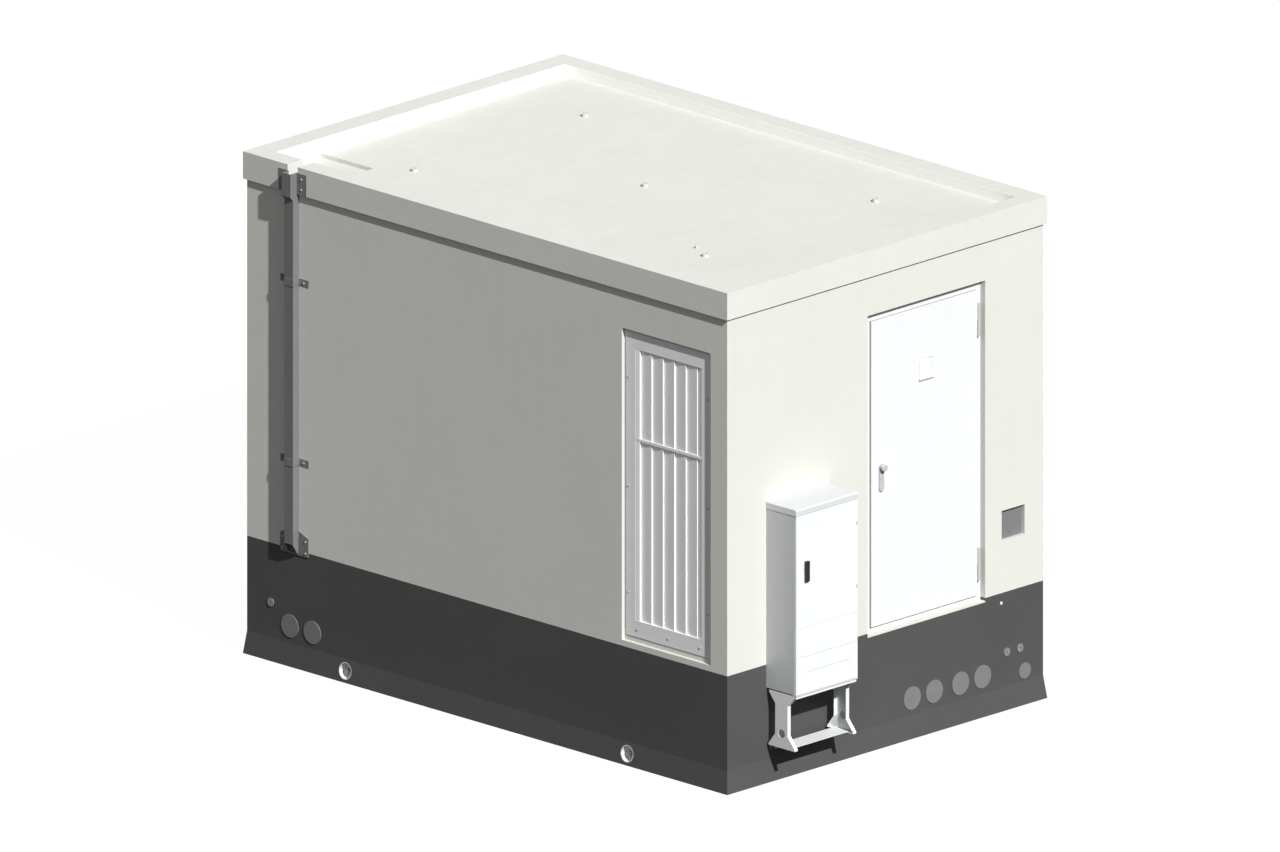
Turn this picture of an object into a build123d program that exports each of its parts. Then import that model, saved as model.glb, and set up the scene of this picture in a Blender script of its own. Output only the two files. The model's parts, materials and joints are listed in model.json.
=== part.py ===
import os
from math import atan, degrees

from build123d import *

os.makedirs("parts", exist_ok=True)

# Compact walk-in transformer station of precast concrete, in millimetres.
# Origin at the centre of the underside. The door is in the -Y wall, the
# air grille and the downpipe are on the -X wall, +Z is up.

# Concrete shell
station_width = 3000.0
station_length = 4480.0
wall = 100.0
tub_top = 820.0
wall_top = 3310.0
roof_top = 3500.0
eave = 20.0
toe_height = 160.0
toe_step = 20.0
slab = 120.0
ledge = 60.0
ledge_top = 770.0
floor_plate = 30.0
half_x = station_width / 2
half_y = station_length / 2
in_x = half_x - wall
in_y = half_y - wall
floor_top = ledge_top + floor_plate
front = -half_y
side = -half_x

# Places along the front wall keep their share of the width
share = half_x / 1500.0

# Transformer and the oil pit below it
tank_centre = (side + 700.0, front + 740.0)
tank_size = (800.0, 500.0)
tank_x = (tank_centre[0] - tank_size[0] / 2, tank_centre[0] + tank_size[0] / 2)
tank_y = (tank_centre[1] - tank_size[1] / 2, tank_centre[1] + tank_size[1] / 2)
pit_wall = 80.0
pit_x = tank_x[1] + 220.0
pit_y = tank_y[1] + 450.0

# Clearances
hole_gap = 0.1
running_gap = 0.05
sheet = 3.0

# Roof pan, falling to the outlet side
rim = 150.0
pan_depth = 90.0
fall_x = 0.0127
sump_size = (415.0, 490.0)
sump_step = 23.0
pipe_y = half_y - 445.0
notch_width = 93.0
plug_spacing = (station_width - 1382.0, station_length - 1768.0)
plug_radius = 22.0
plug_sink = 60.0
plug_proud = 22.0
pin_radius = 10.0

# Downpipe
pipe_depth = 57.0
pipe_width = 80.0
pipe_bottom = 960.0
pipe_top = 3270.0
hopper_top = 3460.0
hopper_depth = 63.0
clamp_heights = (1440.0, 2696.0)
clamp_band = 50.0
ear = 88.0

# Air grille
grille_y = front + 569.5
grille_outer = (789.0, 2120.0)
grille_inner = (616.0, 1890.0)
grille_z = 1960.0
niche_margin = 20.0
recess_depth = 25.0
flange = 4.0
slat_set_back = 8.0
slat_depth = 40.0
gap_width = 34.0
gap_count = 6
gap_pitch = 106.5
rib_height = 21.0

# Door
door_x = 391.75 * share
door_opening = (1116.5, 2245.0)
sill_z = 790.0
leaf_size = (1005.0, 2132.0)
leaf_x = door_x + 7.75
leaf_z = 1909.0
frame_set_back = 45.0
frame_lap = 26.5
leaf_proud = 17.0
lip_gap = 2.0
leaf_depth = 45.0
knuckle = 12.0
hinge_pin = 6.0
hinge_drop = ((946.0, 1172.0), (2650.0, 2880.0))
lock_x = leaf_x - leaf_size[0] / 2 + 88.0
knob_z = 1944.0
cylinder_z = 1872.0
latch_z = 1910.0
holder_size = (135.0, 140.0)
holder_place = (leaf_x + 16.0, leaf_z + 627.0)

# Meter niche
meter_x = 1215.0 * share
meter_z = 1287.0
meter_size = (225.0, 216.0)
meter_depth = 85.0
flap_set_back = 28.0

# Cable entries and earthing
entry_radius = 80.0
entry_bore = 75.0
front_entries = [x * share for x in (254.0, 464.0, 713.0, 922.0)]
side_entries = (half_y - 611.0, half_y - 401.0)
entry_z = 278.0
small_entry = (1324.0 * share, 231.0)
small_radius = 55.0
small_bore = 50.0
plug_place = (1101.0 * share, 751.0)
earth_radius = 28.5
earth_z = 400.0
front_earths = [x * share for x in (1153.0, 1280.0)]
side_earth = half_y - 223.0
anchor_y = half_y - 925.0
anchor_z = 80.0
cup_radius = 59.0
stud_radius = 12.0

# Street cabinet on the front wall
cab_x = -837.5 * share
cab_width = 585.0
cab_depth = 280.0
cab_bottom = 662.0
cab_roof = 1910.0
cab_cap = 45.0
cab_sheet = 4.0
cab_door = 12.0
door_foot = 1121.0
cover_foot = 917.0
cab_gap = 1.0
cab_left = cab_x - cab_width / 2
cab_right = cab_x + cab_width / 2
cab_front = front - cab_depth

# Transformer tank, bushings and tap changer
rail_height = 80.0
tank_height = 900.0
fin_depth = 120.0
fin_pitch = 40.0
fin_count = 19
cover_plate = 15.0
tank_bottom = ledge_top + rail_height
tank_top = tank_bottom + tank_height
cover_top = tank_top + cover_plate
mv_y = tank_centre[1] + 120.0
mv_places = [tank_centre[0] + x for x in (-200.0, 0.0, 200.0)]
lv_y = tank_centre[1] - 140.0
lv_places = [tank_centre[0] + x for x in (-250.0, -80.0, 90.0, 260.0)]
bushing_height = 300.0
lv_height = 180.0
tap_place = (tank_centre[0] + 350.0, tank_centre[1])

# Switchgear and low-voltage board
rmu_x = (in_x - 1300.0, in_x - 100.0)
rmu_depth = 780.0
rmu_height = 1400.0
rmu_front = in_y - rmu_depth
rmu_shafts = [rmu_x[0] + x for x in (200.0, 600.0, 1000.0)]
shaft_z = floor_top + 950.0
board_y = (pit_y + 300.0, pit_y + 1800.0)
board_z = (900.0, 2100.0)
board_back = 20.0
switch_y = board_y[0] + 275.0
switch_z = 1650.0
switch_depth = 230.0
strip_depth = 170.0
mv_cable = 18.0
lv_cable = 16.0
riser_y = pit_y + 60.0

# Floor
beam_width = 60.0
beam_height = 80.0
beam_rows = (pit_y + 720.0, (pit_y + in_y) / 2 - 10.0, in_y - 800.0)
front_beam = tank_centre[1] + 50.0
hatch_x = (pit_x + 480.0, pit_x + 1080.0)
hatch_y = (pit_y + 100.0, pit_y + 600.0)
hatch_rebate = 20.0
hatch_plate = 15.0


def block(x, y, z, mode=Mode.ADD):
    """Box between a low and a high value on each axis."""
    with Locations((sum(x) / 2, sum(y) / 2, sum(z) / 2)):
        Box(x[1] - x[0], y[1] - y[0], z[1] - z[0], mode=mode)


def rod(start, way, radius, length, mode=Mode.ADD):
    """Round bar from a start point along a direction."""
    with Locations(Plane(origin=start, z_dir=way)):
        Cylinder(radius, length, align=(Align.CENTER, Align.CENTER, Align.MIN), mode=mode)


def span(middle, size):
    """Low and high value either side of a middle."""
    return (middle - size / 2, middle + size / 2)


def save(builder, name):
    """Label the piece and write it out."""
    builder.part.label = name
    export_step(builder.part, "parts/" + name + ".step")


def pan_height(x):
    """Height of the sloping roof surface at a place across the width."""
    return roof_top - pan_depth + fall_x * x


def keyhole(y, gap, mode):
    """Profile of the lock cylinder, a round with a flat web below it."""
    rod((lock_x, y[0], cylinder_z), (0, 1, 0), 8.5 + gap, y[1] - y[0], mode)
    block((lock_x - 5 - gap, lock_x + 5 + gap), y, (cylinder_z - 24 - gap, cylinder_z), mode)


out = (0, -1, 0)
left_out = (-1, 0, 0)
up = (0, 0, 1)

door_left = door_x - door_opening[0] / 2
door_right = door_x + door_opening[0] / 2
door_head = sill_z + door_opening[1]
leaf_left, leaf_right = span(leaf_x, leaf_size[0])
leaf_foot, leaf_head = span(leaf_z, leaf_size[1])
frame_face = front + frame_set_back
leaf_face = frame_face - leaf_proud
lip_back = frame_face - lip_gap
opening_x = (leaf_left + frame_lap, leaf_right - frame_lap)
opening_z = (leaf_foot + frame_lap, leaf_head - frame_lap)
leaf_box_x = (opening_x[0] + 6, opening_x[1] - 6)
leaf_box_z = (opening_z[0] + 6, opening_z[1] - 6)
leaf_back = lip_back + leaf_depth
hinge_x = leaf_right + knuckle + 3

grille_foot = grille_z - grille_outer[1] / 2
grille_head = grille_z + grille_outer[1] / 2
grille_box_y = span(grille_y, grille_inner[0])
grille_box_z = span(grille_z, grille_inner[1])
recess_y = span(grille_y - 1, grille_outer[0] + 2 * niche_margin)
recess_z = (grille_foot - 39, grille_head + 18)
recess_floor = side + recess_depth
meter_box_x = span(meter_x, meter_size[0])
meter_box_z = span(meter_z, meter_size[1])

rim_x = (-half_x - eave + rim, half_x + eave - rim)
rim_y = (-half_y - eave + rim - 10, half_y + eave - rim - 20)
sump_x = (rim_x[0], rim_x[0] + sump_size[0])
sump_y = (rim_y[1] - sump_size[1], rim_y[1])
sump_floor = pan_height(sump_x[0]) - sump_step
plug_points = [(i * plug_spacing[0] / 2, j * plug_spacing[1] / 2) for i in (-1, 1) for j in (-1, 1)]
pin_point = (90.0 - plug_spacing[0] / 2, 167.0 - plug_spacing[1] / 2)
caps = [(x, y, plug_radius) for x, y in [*plug_points, (0.0, 0.0)]] + [(*pin_point, pin_radius)]

rmu_cable_x = [rmu_shafts[2] - 60, rmu_shafts[2], rmu_shafts[2] + 60]
rmu_cable_y = rmu_front + rmu_depth / 2

toe_slope = toe_step / toe_height
anchor_x = half_x + toe_step - toe_slope * anchor_z
anchors = [
    ((end * anchor_x, y, anchor_z), (-end, 0, -toe_slope), (end, 0, toe_slope))
    for end in (-1, 1)
    for y in (-anchor_y, anchor_y)
]

# Foundation tub with cable cellar, oil pit, toe and openings
with BuildPart() as foundation_tub:
    block((-half_x, half_x), (-half_y, half_y), (0, tub_top))
    with BuildSketch():
        Rectangle(2 * (half_x + toe_step), 2 * (half_y + toe_step))
    extrude(amount=toe_height, taper=degrees(atan(toe_step / toe_height)))
    block((-in_x, in_x), (-in_y, in_y), (ledge_top, tub_top), Mode.SUBTRACT)
    block((-in_x + ledge, in_x - ledge), (pit_y, in_y - ledge), (slab, ledge_top), Mode.SUBTRACT)
    block((pit_x, in_x - ledge), (-in_y + ledge, pit_y), (slab, ledge_top), Mode.SUBTRACT)
    block(
        (-in_x + ledge, pit_x - pit_wall),
        (-in_y + ledge, pit_y - pit_wall),
        (slab, ledge_top),
        Mode.SUBTRACT,
    )
    for y in beam_rows:
        block((-in_x, in_x), span(y, beam_width), (ledge_top - beam_height, ledge_top), Mode.SUBTRACT)
    block(
        (pit_x - pit_wall / 2, in_x),
        span(front_beam, beam_width),
        (ledge_top - beam_height, ledge_top),
        Mode.SUBTRACT,
    )
    block((door_left, door_right), (front, -in_y), (sill_z, tub_top), Mode.SUBTRACT)
    for x in front_entries:
        rod((x, -in_y + ledge, entry_z), out, entry_bore + hole_gap, wall + ledge, Mode.SUBTRACT)
    for y in side_entries:
        rod((-in_x + ledge, y, entry_z), left_out, entry_bore + hole_gap, wall + ledge, Mode.SUBTRACT)
    rod((small_entry[0], -in_y + ledge, small_entry[1]), out, small_bore + hole_gap, wall + ledge, Mode.SUBTRACT)
    for x in front_earths:
        rod((x, front + 60, earth_z), out, 20 + hole_gap, 60, Mode.SUBTRACT)
    rod((side + 60, side_earth, earth_z + 5), left_out, 20 + hole_gap, 60, Mode.SUBTRACT)
    rod((plug_place[0], front + 40, plug_place[1]), out, 8 + hole_gap, 40, Mode.SUBTRACT)
    for centre, inward, outward in anchors:
        with Locations(centre):
            Sphere(cup_radius + hole_gap, mode=Mode.SUBTRACT)
        rod(centre, inward, stud_radius + hole_gap, 160, Mode.SUBTRACT)
save(foundation_tub, "foundation_tub")

# Wall ring with the door, grille and meter openings
with BuildPart() as wall_shell:
    block((-half_x, half_x), (-half_y, half_y), (tub_top, wall_top))
    block((-in_x, in_x), (-in_y, in_y), (tub_top, wall_top), Mode.SUBTRACT)
    block((door_left, door_right), (front, -in_y), (tub_top, door_head), Mode.SUBTRACT)
    block((side, recess_floor), recess_y, recess_z, Mode.SUBTRACT)
    block(
        (side, -in_x),
        span(grille_y, grille_inner[0] + 40),
        span(grille_z, grille_inner[1] + 40),
        Mode.SUBTRACT,
    )
    block(meter_box_x, (front, front + meter_depth), meter_box_z, Mode.SUBTRACT)
save(wall_shell, "wall_shell")

# Roof slab with a sunk sloping pan, sump and outlet notch
with BuildPart() as pan_void:
    block(rim_x, rim_y, (roof_top - 150, roof_top + 20))
    split(bisect_by=Plane(origin=(0, 0, pan_height(0)), z_dir=(-fall_x, 0, 1)), keep=Keep.TOP)
with BuildPart() as roof_slab:
    block((-half_x - eave, half_x + eave), (-half_y - eave, half_y + eave), (wall_top, roof_top))
    add(pan_void.part, mode=Mode.SUBTRACT)
    block(sump_x, sump_y, (sump_floor, roof_top), Mode.SUBTRACT)
    block((-half_x - eave, rim_x[0]), span(pipe_y, notch_width), (sump_floor, roof_top), Mode.SUBTRACT)
    for x, y, radius in caps:
        rod((x, y, pan_height(x) - plug_sink), up, radius + hole_gap, plug_sink * 2, Mode.SUBTRACT)
save(roof_slab, "roof_slab")

# Lifting sockets, a centre cap and an earthing pin in the roof
with BuildPart() as roof_plugs:
    for x, y, radius in caps:
        rod((x, y, pan_height(x) - plug_sink), up, radius, plug_sink + plug_proud)
    for x, y in plug_points:
        rod((x, y, pan_height(x) - plug_sink + 10), up, 12, plug_sink + plug_proud, Mode.SUBTRACT)
save(roof_plugs, "roof_plugs")

# Sealed cable entries through the tub wall
with BuildPart() as cable_entry_covers:
    for x in front_entries:
        rod((x, front, entry_z), out, entry_radius, 5)
        rod((x, front, entry_z), (0, 1, 0), entry_bore, wall)
    for y in side_entries:
        rod((side, y, entry_z), left_out, entry_radius, 5)
        rod((side, y, entry_z), (1, 0, 0), entry_bore, wall)
    rod((small_entry[0], front, small_entry[1]), out, small_radius, 5)
    rod((small_entry[0], front, small_entry[1]), (0, 1, 0), small_bore, wall)
save(cable_entry_covers, "cable_entry_covers")

# Earthing bushings with a blind threaded hole
with BuildPart() as earth_bushings:
    for x in front_earths:
        rod((x, front, earth_z), out, earth_radius, 6)
        rod((x, front, earth_z), (0, 1, 0), 20, 55)
        rod((x, front - 6, earth_z), (0, 1, 0), 6, 36, Mode.SUBTRACT)
    rod((side, side_earth, earth_z + 5), left_out, earth_radius, 6)
    rod((side, side_earth, earth_z + 5), (1, 0, 0), 20, 55)
    rod((side - 6, side_earth, earth_z + 5), (1, 0, 0), 6, 36, Mode.SUBTRACT)
save(earth_bushings, "earth_bushings")

# Small plastic plug in the tub wall
with BuildPart() as wall_plug:
    rod((plug_place[0], front, plug_place[1]), out, 11, 3)
    rod((plug_place[0], front, plug_place[1]), (0, 1, 0), 8, 35)
save(wall_plug, "wall_plug")

# Lifting anchor cups and their studs in the toe
with BuildPart() as anchor_cups:
    for centre, inward, outward in anchors:
        with Locations(centre):
            Sphere(cup_radius)
        with Locations(centre):
            Sphere(cup_radius - 5, mode=Mode.SUBTRACT)
        rod(centre, inward, stud_radius + hole_gap, 80, Mode.SUBTRACT)
        rod(centre, outward, 80, 80, Mode.SUBTRACT)
save(anchor_cups, "anchor_cups")

with BuildPart() as anchor_studs:
    for centre, inward, outward in anchors:
        sunk = (centre[0] + 14 * inward[0], centre[1], centre[2] + 14 * inward[2])
        rod(sunk, inward, 22, 12)
        rod(sunk, inward, stud_radius, 140)
save(anchor_studs, "anchor_studs")

# Rainwater hopper on the roof edge
fascia = -half_x - eave
hopper_y = span(pipe_y, 81)
pipe_box_y = span(pipe_y, pipe_width)
pipe_out = side - pipe_depth
with BuildPart() as funnel_void:
    with BuildSketch(Plane.XY.offset(pipe_top)):
        with Locations((side - pipe_depth / 2, pipe_y)):
            Rectangle(pipe_depth - 2 * sheet, pipe_width - 2 * sheet)
    with BuildSketch(Plane.XY.offset(pipe_top + 30)):
        with Locations((fascia - hopper_depth / 2, sum(hopper_y) / 2)):
            Rectangle(hopper_depth - 2 * sheet, hopper_y[1] - hopper_y[0] - 2 * sheet)
    loft()
with BuildPart() as rain_hopper:
    with BuildSketch(Plane.XY.offset(pipe_top)):
        with Locations((side - pipe_depth / 2, pipe_y)):
            Rectangle(pipe_depth, pipe_width)
    with BuildSketch(Plane.XY.offset(pipe_top + 30)):
        with Locations((fascia - hopper_depth / 2, sum(hopper_y) / 2)):
            Rectangle(hopper_depth, hopper_y[1] - hopper_y[0])
    loft()
    block((fascia - hopper_depth, fascia), hopper_y, (pipe_top + 30, hopper_top))
    block((fascia - sheet, fascia), (hopper_y[0] - ear, hopper_y[1] + ear), (pipe_top + 42, hopper_top))
    add(funnel_void.part, mode=Mode.SUBTRACT)
    block(
        (fascia - hopper_depth + sheet, fascia - sheet),
        (hopper_y[0] + sheet, hopper_y[1] - sheet),
        (pipe_top + 30, hopper_top),
        Mode.SUBTRACT,
    )
    block(
        (fascia - sheet, fascia),
        (hopper_y[0] + sheet, hopper_y[1] - sheet),
        (sump_floor + 3, hopper_top),
        Mode.SUBTRACT,
    )
save(rain_hopper, "rain_hopper")

screw_head = 7.0
with BuildPart() as hopper_screws:
    for y in (hopper_y[0] - ear / 2, hopper_y[1] + ear / 2):
        for z in (pipe_top + 80, hopper_top - 38):
            rod((fascia - sheet, y, z), left_out, screw_head, 5)
save(hopper_screws, "hopper_screws")

# Rectangular downpipe
with BuildPart() as downpipe:
    block((pipe_out, side), pipe_box_y, (pipe_bottom, pipe_top))
    block(
        (pipe_out + sheet, side - sheet),
        (pipe_box_y[0] + sheet, pipe_box_y[1] - sheet),
        (pipe_bottom, pipe_top),
        Mode.SUBTRACT,
    )
save(downpipe, "downpipe")

# Clamps around the downpipe with an ear on each side
with BuildPart() as pipe_clamps:
    for z in clamp_heights:
        tall = span(z, clamp_band)
        block((pipe_out - sheet, side), (pipe_box_y[0] - sheet, pipe_box_y[1] + sheet), tall)
        block((side - sheet, side), (pipe_box_y[0] - sheet - ear, pipe_box_y[1] + sheet + ear), tall)
        block((pipe_out, side), pipe_box_y, tall, Mode.SUBTRACT)
save(pipe_clamps, "pipe_clamps")

# Shoe at the foot of the downpipe, a wall plate with a slanting spout
plate = 6.0
shoe_z = (790.0, 920.0)
shoe_half = pipe_width / 2 + sheet + ear
with BuildPart() as downpipe_shoe:
    with BuildSketch(Plane.YZ.offset(side - plate)):
        with BuildLine():
            Polyline(
                (pipe_y - shoe_half, shoe_z[0]),
                (pipe_y + shoe_half, shoe_z[0]),
                (pipe_y + shoe_half, shoe_z[1]),
                (pipe_box_y[1], pipe_bottom),
                (pipe_box_y[0], pipe_bottom),
                (pipe_y - shoe_half, shoe_z[1]),
                close=True,
            )
        make_face()
    extrude(amount=plate)
    with BuildSketch(Plane.XZ.offset(-pipe_box_y[0])):
        with BuildLine():
            Polyline(
                (side - plate, pipe_bottom),
                (pipe_out, pipe_bottom),
                (pipe_out, 868),
                (side - plate - 12, shoe_z[0] + 16),
                (side - plate, shoe_z[0] + 16),
                close=True,
            )
        make_face()
    extrude(amount=-pipe_width)
    with BuildSketch(Plane.XZ.offset(-pipe_box_y[0] - sheet)):
        with BuildLine():
            Polyline(
                (side - plate, pipe_bottom),
                (pipe_out + sheet, pipe_bottom),
                (pipe_out + sheet, 871),
                (pipe_out - 20, 871),
                (side - plate - 14, shoe_z[0] + 19),
                (side - plate, shoe_z[0] + 19),
                close=True,
            )
        make_face()
    extrude(amount=-(pipe_width - 2 * sheet), mode=Mode.SUBTRACT)
save(downpipe_shoe, "downpipe_shoe")

with BuildPart() as wall_screws:
    for z in clamp_heights:
        for y in (pipe_box_y[0] - sheet - ear / 2, pipe_box_y[1] + sheet + ear / 2):
            rod((side - sheet, y, z), left_out, screw_head, 5)
    for y in (pipe_y - shoe_half + 25, pipe_y + shoe_half - 25):
        for z in (shoe_z[0] + 25, shoe_z[1] - 25):
            rod((side - plate, y, z), left_out, screw_head, 5)
    for y in (grille_y - 294.5, grille_y - 1.5, grille_y + 288.5):
        rod((recess_floor - flange, y, grille_foot + 53), left_out, screw_head, 4)
    for y in span(grille_y + 0.5, grille_outer[0] - 47):
        for z in (grille_z - 20, grille_z + 740, grille_z - 760):
            rod((recess_floor - flange, y, z), left_out, screw_head, 4)
save(wall_screws, "wall_screws")

# Air grille: flange and collar, folded slats, cross rib and screen
with BuildPart() as vent_frame:
    block(
        (recess_floor - flange, recess_floor),
        span(grille_y, grille_outer[0]),
        span(grille_z, grille_outer[1]),
    )
    block(
        (recess_floor, -in_x),
        span(grille_y, grille_inner[0] + 20),
        span(grille_z, grille_inner[1] + 20),
    )
    block((recess_floor - flange, -in_x), grille_box_y, grille_box_z, Mode.SUBTRACT)
save(vent_frame, "vent_frame")

rib_front = recess_floor - flange
slat_front = rib_front + slat_set_back
slat_back = slat_front + slat_depth
with BuildPart() as vent_screen:
    block((slat_back, slat_back + sheet), grille_box_y, grille_box_z)
save(vent_screen, "vent_screen")

gap_spots = [
    span(grille_y - 6.0 - (i - (gap_count - 1) / 2) * gap_pitch, gap_width)
    for i in range(gap_count)
]
slat_edges = [grille_box_y[1], *[edge for spot in gap_spots for edge in reversed(spot)], grille_box_y[0]]
with BuildPart() as vent_bars:
    for high, low in zip(slat_edges[::2], slat_edges[1::2]):
        block((slat_front, slat_back), (low, high), grille_box_z)
        block((slat_front + sheet, slat_back), (low + sheet, high - sheet), grille_box_z, Mode.SUBTRACT)
    block((rib_front, slat_front), grille_box_y, span(grille_z + 317.5, rib_height))
save(vent_bars, "vent_bars")

# Door frame with a rebate and a keep open to the front
with BuildPart() as door_frame:
    block((door_left, door_right), (frame_face, -in_y), (floor_top, door_head))
    block(opening_x, (frame_face, -in_y), opening_z, Mode.SUBTRACT)
    block((opening_x[0] - 25, opening_x[0]), (frame_face, frame_face + 32), span(latch_z, 30), Mode.SUBTRACT)
save(door_frame, "door_frame")

with BuildPart() as door_sill:
    block((door_left, door_right), (front, -in_y), (sill_z, floor_top))
save(door_sill, "door_sill")

# Door leaf: front sheet lapping the frame, box behind, mortise for the lock
case_x = (leaf_box_x[0], leaf_box_x[0] + 80)
case_y = (leaf_face + 26, leaf_face + 46)
case_z = (latch_z - 120.0, latch_z + 55.0)
with BuildPart() as door_leaf:
    block((leaf_left, leaf_right), (leaf_face, lip_back), (leaf_foot, leaf_head))
    block(leaf_box_x, (lip_back, leaf_back), leaf_box_z)
    block(case_x, case_y, case_z, Mode.SUBTRACT)
    keyhole((leaf_face, leaf_back), hole_gap, Mode.SUBTRACT)
    rod((lock_x, leaf_back, knob_z), out, 4.5 + running_gap, leaf_back - case_y[1], Mode.SUBTRACT)
    for z in ((leaf_box_z[0] + 60, case_z[0] - 60), (case_z[1] + 60, leaf_box_z[1] - 60)):
        block((leaf_box_x[0] + 60, leaf_box_x[1] - 60), (leaf_face + 4, leaf_back - 4), z, Mode.SUBTRACT)
save(door_leaf, "door_leaf")

# Rubber seal on the frame behind the leaf
with BuildPart() as door_seal:
    block(
        (opening_x[0] - 20, opening_x[1] + 20),
        (lip_back + 0.2, frame_face),
        (opening_z[0] - 18, opening_z[1] + 18),
    )
    block(
        (opening_x[0] - 6, opening_x[1] + 6),
        (lip_back + 0.2, frame_face),
        (opening_z[0] - 5, opening_z[1] + 5),
        Mode.SUBTRACT,
    )
    block((opening_x[0] - 25, opening_x[0]), (lip_back, frame_face), span(latch_z, 30), Mode.SUBTRACT)
save(door_seal, "door_seal")

# Lift-off hinges: pin and lower knuckle on the frame, upper one on the leaf
with BuildPart() as frame_hinges:
    for low, high in hinge_drop:
        middle = (low + high) / 2
        rod((hinge_x, leaf_face, low), up, knuckle, middle - low - 0.5)
        rod((hinge_x, leaf_face, low), up, hinge_pin, high - low - 20)
        block((hinge_x - 6, hinge_x + 18), (leaf_face + 8, frame_face), (low, middle - 0.5))
save(frame_hinges, "frame_hinges")

with BuildPart() as leaf_hinges:
    for low, high in hinge_drop:
        middle = (low + high) / 2
        rod((hinge_x, leaf_face, middle), up, knuckle, high - middle)
        block((leaf_right, hinge_x - 4), (leaf_face, leaf_face + 9), (middle, high))
        rod((hinge_x, leaf_face, middle), up, hinge_pin + running_gap, high - middle - 19, Mode.SUBTRACT)
save(leaf_hinges, "leaf_hinges")

# Outside lock plate, fixed knob and profile cylinder
plate_front = leaf_face - 12
with BuildPart() as lock_plate:
    with BuildSketch(Plane.XZ.offset(-leaf_face)):
        with Locations((lock_x + 2, cylinder_z - 2)):
            SlotOverall(190, 44, rotation=90)
    extrude(amount=12)
    keyhole((plate_front, leaf_face), hole_gap, Mode.SUBTRACT)
save(lock_plate, "lock_plate")

with BuildPart() as door_knob:
    rod((lock_x, plate_front, knob_z), out, 11, 14)
    rod((lock_x, plate_front - 12, knob_z), out, 24, 22)
    fillet(door_knob.edges().filter_by(GeomType.CIRCLE).sort_by(Axis.Y)[0], 5)
save(door_knob, "door_knob")

with BuildPart() as lock_cylinder:
    keyhole((plate_front - 3, leaf_back + 2), 0, Mode.ADD)
save(lock_cylinder, "lock_cylinder")

# Mortise lock, latch bolt and inside lever
with BuildPart() as lock_case:
    block(case_x, case_y, case_z)
    keyhole(case_y, hole_gap, Mode.SUBTRACT)
    rod((lock_x, case_y[0], knob_z), (0, 1, 0), 4.5 + running_gap, 20, Mode.SUBTRACT)
    block((case_x[0], case_x[0] + 40), span(sum(case_y) / 2, 12.4), span(latch_z, 20.4), Mode.SUBTRACT)
save(lock_case, "lock_case")

with BuildPart() as latch_bolt:
    block((case_x[0] - 18, case_x[0] + 25), span(sum(case_y) / 2, 12), span(latch_z, 20))
save(latch_bolt, "latch_bolt")

with BuildPart() as inside_lever:
    rod((lock_x, case_y[0] + 1, knob_z), (0, 1, 0), 4.5, leaf_back - case_y[0] + 20)
    rod((lock_x, leaf_back + 0.3, knob_z), (0, 1, 0), 12, 40)
    block((lock_x, lock_x + 125), (leaf_back + 26, leaf_back + 40), span(knob_z, 18))
save(inside_lever, "inside_lever")

# Blank sign holder on the leaf, side rails and a deeper foot
with BuildPart() as sign_holder:
    holder_x = span(holder_place[0], holder_size[0])
    holder_z = span(holder_place[1], holder_size[1])
    block(holder_x, (leaf_face - 5, leaf_face), holder_z)
    block(
        (holder_x[0] + 5, holder_x[1] - 5),
        (leaf_face - 5, leaf_face - 1.5),
        (holder_z[0], holder_z[1]),
        Mode.SUBTRACT,
    )
    block(holder_x, (leaf_face - 16, leaf_face), (holder_z[0], holder_z[0] + 8))
save(sign_holder, "sign_holder")

# Meter niche: sheet lining, flap hinged at the top and its lock
lining = 4.0
flap_face = front + flap_set_back
flap_pin = 3.0
pin_y = flap_face + 6
pin_z = meter_box_z[1] - lining - 10
with BuildPart() as niche_lining:
    block(meter_box_x, (front, front + meter_depth), meter_box_z)
    block(
        (meter_box_x[0] + lining, meter_box_x[1] - lining),
        (front, front + meter_depth - lining),
        (meter_box_z[0] + lining, meter_box_z[1] - lining),
        Mode.SUBTRACT,
    )
    rod(
        (meter_box_x[0], pin_y, pin_z),
        (1, 0, 0),
        flap_pin + running_gap,
        meter_size[0],
        Mode.SUBTRACT,
    )
save(niche_lining, "niche_lining")

flap_x = (meter_box_x[0] + lining + 1.5, meter_box_x[1] - lining - 1.5)
flap_lock_z = meter_box_z[0] + 40
with BuildPart() as niche_flap:
    block(flap_x, (flap_face, flap_face + 4), (meter_box_z[0] + lining + 2, pin_z + 6))
    rod((meter_box_x[0] + 1, pin_y, pin_z), (1, 0, 0), flap_pin, meter_size[0] - 2)
    rod((meter_x, flap_face, flap_lock_z), (0, 1, 0), 8 + hole_gap, 4, Mode.SUBTRACT)
save(niche_flap, "niche_flap")

with BuildPart() as flap_lock:
    rod((meter_x, flap_face, flap_lock_z), out, 11, 4)
    rod((meter_x, flap_face, flap_lock_z), (0, 1, 0), 8, 20)
save(flap_lock, "flap_lock")

# Raised floor: beams, plates around the hatch, lift-out hatch
with BuildPart() as floor_beams:
    tall = (ledge_top - beam_height, ledge_top)
    for y in beam_rows:
        block((-in_x + 1, in_x - 1), span(y, beam_width), tall)
        block((-in_x + 1, in_x - 1), span(y, beam_width - 10), (tall[0] + 5, tall[1] - 5), Mode.SUBTRACT)
    block((pit_x - pit_wall / 2 + 1, in_x - 1), span(front_beam, beam_width), tall)
    block(
        (pit_x - pit_wall / 2 + 1, in_x - 1),
        span(front_beam, beam_width - 10),
        (tall[0] + 5, tall[1] - 5),
        Mode.SUBTRACT,
    )
save(floor_beams, "floor_beams")

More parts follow.
